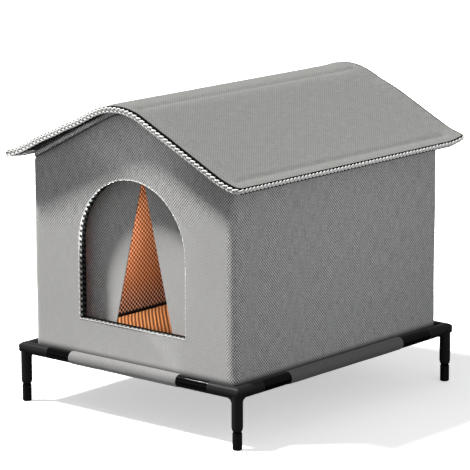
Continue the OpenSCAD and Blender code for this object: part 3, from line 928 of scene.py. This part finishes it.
# %% Cabin lining
LINING_CORNER_R = 5 * MM
WALL_T = 13 * MM
LINING_STEPS_U, LINING_STEPS_Z = 240, 44
lining_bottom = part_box("base_board")[1][2]
lining_half_w, lining_half_d = base_half_w - WALL_T, base_half_d - WALL_T
lining_plan = rounded_rectangle(lining_half_w, lining_half_d, LINING_CORNER_R)


def lining_place(i, j):
    distance = i / LINING_STEPS_U * outline_length(lining_plan)
    x, y, out = on_outline(lining_plan, distance)
    z = lining_bottom + (under_roof(x, seat_drop) - lining_bottom) * j / LINING_STEPS_Z
    return Vector((x, y, z)), (distance, z)


lining_mesh = cloth_grid(LINING_STEPS_U, LINING_STEPS_Z, lining_place, weld=True)
cut_doorway(lining_mesh, lining_half_d)
bmesh.ops.reverse_faces(lining_mesh, faces=lining_mesh.faces)
cabin_lining = keep(lining_mesh, "cabin_lining")
thicken(cabin_lining, 1.2 * MM)
finish_piece(cabin_lining, wall_mesh_material, "orange_mesh", *[side + "_lining" for side in SIDES])

# %% [markdown]
# ## The doorway's edge
# A webbing lines the cut through the wall, painted near-black for the shade inside the cut. A thin white cord
# follows its front edge, and a doubled white yarn is whip-stitched over it: out of the wall, over the edge at
# a slant and back into the webbing.

# %% Doorway path
SILL_CORNER_R = 3 * MM


def door_legs(grow):
    """The doorway's outline, moved out by grow: sill, right corner and jamb, arch, left jamb and corner."""
    half, low, r = door_half + grow, sill_z - grow, SILL_CORNER_R
    arc, jamb = r * pi / 2, spring_z - low - r
    return [(2 * (half - r), (r - half, low), -90, 0), (arc, (half - r, low + r), -90, r),
            (jamb, (half, low + r), 0, 0), (half * pi, (0, spring_z), 0, half),
            (jamb, (-half, spring_z), 180, 0), (arc, (r - half, low + r), 180, r)]


def door_path(count, grow):
    """Stations round the doorway: the point on its outline, the way forward and the way out."""
    legs = door_legs(grow)
    stations = []
    for k in range(count):
        x, z, out = on_outline(legs, k / count * outline_length(legs))
        stations.append((Vector((x, 0, z)), Vector((0, -1, 0)), Vector((out[0], 0, out[1]))))
    return stations


# %% Doorway pieces
WEBBING_STATIONS = 260
near, far = cabin_half_d - 0.8 * MM, cabin_half_d - WALL_T - 2 * MM
webbing = [(-0.4 * MM, near), (-0.4 * MM, far), (1.1 * MM, far), (1.1 * MM, near)]
jamb_strip = swept_band(door_path(WEBBING_STATIONS, 0), lambda out: webbing, "doorway_strip")
finish_piece(jamb_strip, shaded_jamb_material, "pale_binding", "door_binding")

STITCH_PITCH = 8.6 * MM
STITCH_HALF_DEPTH, STITCH_HALF_W = 2.8 * MM, 1.2 * MM
STITCH_PROUD = 0.8 * MM
YARN_R = 0.95 * MM
EDGE_CORD_R, EDGE_CORD_BACK = 0.65 * MM, 0.1 * MM
RINGS_PER_STITCH = 16
stitches = round(outline_length(door_legs(TAPE_LINING / 2)) / STITCH_PITCH)
stitch_stations = door_path(stitches * RINGS_PER_STITCH, TAPE_LINING / 2)
stitch_middle = cabin_half_d + STITCH_PROUD - YARN_R - STITCH_HALF_DEPTH


def stitch_shift(forward, out):
    """How the stitches lie: sunk at the sill, and drawn back on the right jamb and along the arch."""
    at_sill, drawn_back = max(0, -out.z), 0.6 * MM * max(0, out.x) + 0.5 * MM * max(0, out.z)
    return (out * 0.9 * MM - forward * 0.6 * MM) * at_sill + forward * (stitch_middle - drawn_back)


def stitch_offset(share, phase):
    angle = 2 * pi * (share * stitches + phase)
    return STITCH_HALF_DEPTH * cos(angle), -STITCH_HALF_W * sin(angle)


def edge_cord_shift(forward, out):
    """The thin cord lies just inside the wall's face and within the edge."""
    return forward * (cabin_half_d - EDGE_CORD_BACK) - out * (1.0 + 0.7 * min(0, out.z)) * MM


def edge_cord_offset(share, phase):
    return 0.25 * MM * cos(2 * pi * share * stitches), 0


for name, shift, radius, phases, offset in (
        ("doorway_whip_stitch", stitch_shift, YARN_R, (0, 0.2), stitch_offset),
        ("doorway_edge_cord", edge_cord_shift, EDGE_CORD_R, (0,), edge_cord_offset)):
    line = [(point + shift(forward, out), forward, out) for point, forward, out in stitch_stations]
    finish_piece(strands(name, line, radius, phases, offset), yarn_material, "pale_binding")

# %% [markdown]
# ## The door flaps
# Two sheets hang from a header just inside the doorway. Their inner edges run from the middle at the top to
# wide apart at the bottom, and leave a gap like a tall triangle. The cloth hangs in one long soft fold.

# %% Door flaps
FLAP_BOW = 1.025
FLAP_SPREAD = 69 * MM
FLAP_STEPS, FLAP_ROWS = 40, 76
flap_low, flap_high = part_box("left_flap")
flap_axis_z = flap_high[2] - 2 * MM
flap_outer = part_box("right_flap")[1][0]
flap_y = (flap_low[1] + flap_high[1]) / 2
flap_drop = flap_axis_z - flap_low[2]


def flap_place(side):
    def place(i, j):
        hang, share = j / FLAP_ROWS, i / FLAP_STEPS
        depth = hang * flap_drop
        inner = 0.3 * MM + FLAP_SPREAD * hang ** FLAP_BOW
        x = inner + (flap_outer - inner) * share
        ripple = 0.5 * MM * noise.noise(Vector((x * 18, depth * 9, side)))
        fold = 2.2 * MM * hang * sin(share * 2.6 + 0.4) + ripple
        return Vector((side * x, flap_y + fold * min(1, hang * 4), flap_axis_z - depth)), (side * x, depth)
    return place


for side, label in ((-1, "left"), (1, "right")):
    flap = keep(cloth_grid(FLAP_STEPS, FLAP_ROWS, flap_place(side)), label + "_door_flap", outward=True)
    pin(flap, lambda co: 1 if co.z > flap_axis_z - 4 * MM else 0)
    settle(flap, 24, (0, 0, -9.81), 6 * MM, 0.4, 30, quality=6, bending_stiffness=4)
    thicken(flap, 1.3 * MM, 0)
    finish_piece(flap, flap_material, "flap_cloth", label + "_flap", body=label + "_flap")

# %% [markdown]
# ## The mat
# The mat is foam in a cover of the same mesh, with a full top and round edges. A little air pressure in
# Blender's Cloth fills it.

# %% Mat
MAT_STEPS_X, MAT_STEPS_Y = 76, 94
MAT_EDGE = 8 * MM
EDGE_SHARE = 0.35
mat_low, mat_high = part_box("floor_mat")
mat_height = mat_high[2] - mat_low[2]


def mat_place(top):
    def place(i, j):
        x, y = (2 * i / MAT_STEPS_X - 1) * mat_high[0], (2 * j / MAT_STEPS_Y - 1) * mat_high[1]
        inset = min(mat_high[0] - abs(x), mat_high[1] - abs(y))
        lift = sqrt(max(0, 1 - (1 - min(1, inset / MAT_EDGE)) ** 2))
        if not top:
            return Vector((x, y, mat_low[2] + mat_height * EDGE_SHARE * (1 - lift))), (x, y)
        dent = 0.6 * MM * (noise.noise(Vector((x, y, 1)) * 12) + 0.5) * lift
        return Vector((x, y, mat_low[2] + mat_height * (EDGE_SHARE + (1 - EDGE_SHARE) * lift) - dent)), (x, y)
    return place


mat_mesh, under_mesh = (cloth_grid(MAT_STEPS_X, MAT_STEPS_Y, mat_place(top)) for top in (True, False))
bmesh.ops.reverse_faces(under_mesh, faces=under_mesh.faces)
underside = bpy.data.meshes.new("mat_underside")
under_mesh.to_mesh(underside)
under_mesh.free()
mat_mesh.from_mesh(underside)
bmesh.ops.remove_doubles(mat_mesh, verts=mat_mesh.verts, dist=1e-5)
mat = keep(mat_mesh, "sleeping_mat")
pin(mat, lambda co: 1 if co.z < mat_low[2] + 2 * MM else 0)
settle(mat, 20, (0, 0, 0), 2.5 * MM, 0.3, 15, quality=5, use_pressure=True, uniform_pressure_force=4)
finish_piece(mat, mesh_material, "orange_mesh", "floor_mat")

# %% [markdown]
# ## Sleeves and deck
# The deck is one cloth, stretched between the rails and sewn to sleeves that the rails run through. The
# sleeves' ends are hemmed, so the cloth is double there.

# %% Sleeves and deck
SLEEVE_STEPS_AROUND = 28
SLEEVE_STEP = 4 * MM
HEM_W = 9 * MM
DECK_STEPS = 40


def sleeve(name, axis, cloth):
    low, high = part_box(name)
    across = 1 - axis
    centre_across, centre_z = (low[across] + high[across]) / 2, (low[2] + high[2]) / 2
    radius = (high[2] - low[2]) / 2
    length = high[axis] - low[axis]
    rows = round(length / SLEEVE_STEP)

    def place(i, j):
        angle = 2 * pi * i / SLEEVE_STEPS_AROUND
        along = j / rows * length
        from_end = min(along, length - along)
        tuck = 0.5 * MM * exp(-((from_end - HEM_W) / (1.5 * MM)) ** 2)
        edge = 0.45 * MM * max(0, 1 - from_end / (1.5 * MM))
        uneven = 0.25 * MM * noise.noise(Vector((along * 20, cos(angle), sin(angle))))
        r = radius - tuck - edge + uneven
        point = Vector((0, 0, centre_z + r * sin(angle)))
        point[axis] = low[axis] + along
        point[across] = centre_across + r * cos(angle)
        return point, (angle * radius, along)

    piece = keep(cloth_grid(SLEEVE_STEPS_AROUND, rows, place, weld=True), name + "_cloth", outward=True)
    thicken(piece, 0.6 * MM)
    finish_piece(piece, cloth, "woven_grey", name)


# Front and rear sleeves take the lit copy of the cloth, the side ones the shaded copy: painted light and
# shade.
for side in SIDES:
    axis = int(side in ("left", "right"))
    sleeve(side + "_sleeve", axis, (lit_sleeve_material, shaded_sleeve_material)[axis])

deck_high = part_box("deck_cloth")[1]


def deck_place(i, j):
    x, y = (2 * i / DECK_STEPS - 1) * deck_high[0], (2 * j / DECK_STEPS - 1) * deck_high[1]
    return Vector((x, y, deck_high[2] - 0.1 * MM)), (x, y)


deck = keep(cloth_grid(DECK_STEPS, DECK_STEPS, deck_place), "deck_sheet")
thicken(deck, 0.8 * MM)
finish_piece(deck, shaded_sleeve_material, "woven_grey", "deck_cloth")

# %% [markdown]
# ## Floor and light
# A soft key lamp stands in front of the house, to its left and above, and pale sky light fills the shadows.
# The floor looks white to the camera, but it is darker to bounced light and to reflections, so that the walls
# aren't lit from below and the black tubes stay black. A narrow spot draws one bright line along the front
# rail. Weak small lamps reach where the house would sink into shadow: into the doorway and along its right
# jamb, under the front gable, along the roof's left edge and across the right eave.

# %% Floor
FLOOR_SIZE = 30


def seen(tree):
    """1 for rays that come from the camera, and 0 for bounced light and reflections."""
    rays = add_node(tree, "LightPath")
    return maths(tree, "MAXIMUM", rays.outputs["Is Camera Ray"], rays.outputs["Is Transmission Ray"])


floor_mesh = bmesh.new()
bmesh.ops.create_grid(floor_mesh, x_segments=1, y_segments=1, size=FLOOR_SIZE)
floor = keep(floor_mesh, "floor")
material, tree, shader = new_material("pale_floor", Roughness=0.9, Specular_IOR_Level=0,
                                      Emission_Color=(1, 1, 1, 1))
tree.links.new(tinted(tree, seen(tree), "#565656", "#f7f7f7"), shader.inputs["Base Color"])
tree.links.new(maths(tree, "MULTIPLY", seen(tree), 0.5), shader.inputs["Emission Strength"])
floor.data.materials.append(material)

# %% Lamps and sky
def add_lamp(name, kind, comes_from, energy, place=(0, 0, 0), roll=0, **settings):
    """A lamp whose light comes from that way. The roll, in degrees, turns it about its own beam."""
    data = bpy.data.lights.new(name, kind)
    data.energy = energy
    for setting, value in settings.items():
        setattr(data, setting, value)
    lamp = bpy.data.objects.new(name, data)
    lamp.location = place
    lamp.rotation_mode = "QUATERNION"
    aim = Vector(comes_from).to_track_quat("Z", "Y")
    lamp.rotation_quaternion = aim @ Quaternion((0, 0, 1), radians(roll))
    lamp.visible_camera = False
    bpy.context.collection.objects.link(lamp)


def far_lamp(name, comes_from, energy, spread, tint):
    """A lamp with parallel light. The spread, in degrees, softens its shadows."""
    add_lamp(name, "SUN", comes_from, energy, angle=radians(spread), color=colour(tint)[:3])


def near_lamp(name, place, comes_from, size, energy, spread=180, roll=0):
    """A small rectangular lamp. The spread, in degrees, narrows its beam."""
    add_lamp(name, "AREA", comes_from, energy, place, roll, shape="RECTANGLE", size=size[0], size_y=size[1],
             spread=radians(spread))


far_lamp("key_lamp", (-1.3, -1.0, 2.85), 6.5, 8.5, "#fffdf9")
far_lamp("side_fill", (1.0, -0.25, 0.12), 0.55, 50, "#f6f9ff")
far_lamp("front_fill", (-0.3, -1.0, 0.15), 0.22, 60, "#ffffff")
glint_target, glint_way = Vector((0.17, -0.262, 0.094)), Vector((-1.27, -0.20, 1.53))
add_lamp("rail_glint", "SPOT", glint_way, 15, glint_target + glint_way, spot_size=radians(6), spot_blend=0.4,
         shadow_soft_size=0.02)
near_lamp("inside_lamp", (-0.14, -0.13, 0.27), (0.45, -0.6, 0.6), (0.04, 0.06), 0.55)
near_lamp("eave_lamp", (0.66, 0.02, 0.38), (1, 0, 0), (0.5, 0.25), 0.45)
near_lamp("gable_lamp", (0.02, -0.37, 0.37), (0, -0.75, -0.66), (0.14, 0.05), 0.02, 100)
near_lamp("left_edge_lamp", (-0.13, -0.45, 0.444), (0, -1, 0), (0.22, 0.009), 0.003, 4, 27)
near_lamp("jamb_lamp", (0.13, -0.256, 0.14), (0.8, -0.03, -0.6), (0.008, 0.27), 0.026, 5)

world = bpy.data.worlds.new("studio")
bpy.context.scene.world = world
world.use_nodes = True
tree = world.node_tree
sky = tree.nodes["Background"]
sky.inputs["Color"].default_value = (1, 1, 1, 1)
tree.links.new(remap(tree, seen(tree), (0, 1), (0.31, 1.0)), sky.inputs["Strength"])
